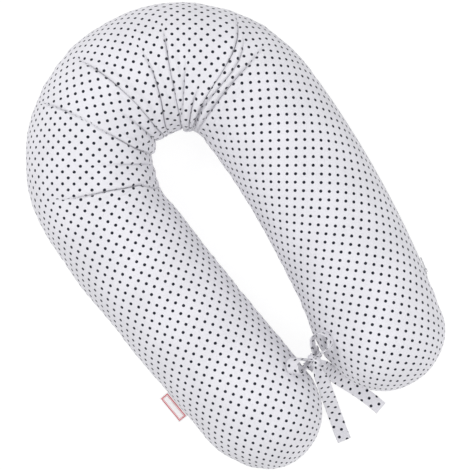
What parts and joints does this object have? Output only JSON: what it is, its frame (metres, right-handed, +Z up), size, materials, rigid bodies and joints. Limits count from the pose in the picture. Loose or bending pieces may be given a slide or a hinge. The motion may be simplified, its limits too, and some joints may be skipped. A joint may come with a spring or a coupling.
{
  "type": "nursing pillow",
  "caption": "Long stuffed cotton tube bent into a U, its two ends tied together with a bow; the dotted cover comes off through a zip in the outer seam.",
  "frame": {"origin": "on the surface that the pillow lies on, under the middle of its outline's box", "axes": "+Y from the tied ends towards the bend, +Z up, +X from the straight left arm to the curved right arm"},
  "size_m": [0.4894, 0.7537, 0.1779],
  "materials": {
    "printed_cotton": "plain weave cotton, off-white with small dark navy dots",
    "casing_cotton": "plain white cotton",
    "fibre_filling": "loose polyester fibre",
    "zip_tape": "woven polyester tape",
    "zip_teeth": "moulded nylon coil",
    "zip_metal": "plated zinc, softly worn",
    "label_cloth": "woven satin label with a plain coloured stitched border"
  },
  "bodies": {
    "pillow": {"cover_top_panel": "printed_cotton", "cover_bottom_panel": "printed_cotton", "inner_casing_top": "casing_cotton", "inner_casing_bottom": "casing_cotton", "filling": "fibre_filling", "zip_tape_upper": "zip_tape", "zip_tape_lower": "zip_tape", "zip_teeth_upper": "zip_teeth", "zip_teeth_lower": "zip_teeth", "zip_open_end_stop": "zip_metal", "zip_closed_end_stop": "zip_metal", "seam_label": "label_cloth", "bow_knot": "printed_cotton", "tie_left_lead": "printed_cotton", "tie_right_lead": "printed_cotton", "tie_left_loop": "printed_cotton", "tie_right_loop": "printed_cotton", "tie_left_tail": "printed_cotton", "tie_right_tail": "printed_cotton"},
    "slider": {"zip_slider": "zip_metal"},
    "pull_tab": {"zip_pull_tab": "zip_metal"}
  },
  "joints": [
    {"name": "zip_travel", "type": "hinge", "parent": "pillow", "child": "slider", "pos_m": [-1.28533, 0.0186, 0.07397], "axis": [0, 0, 1], "range_deg": [0, 12.33]},
    {"name": "pull_tab_hinge", "type": "hinge", "parent": "slider", "child": "pull_tab", "pos_m": [0.22727, -0.22329, 0.07343], "axis": [-0.137, 0.0219, -0.9903], "range_deg": [0, 165]}
  ]
}
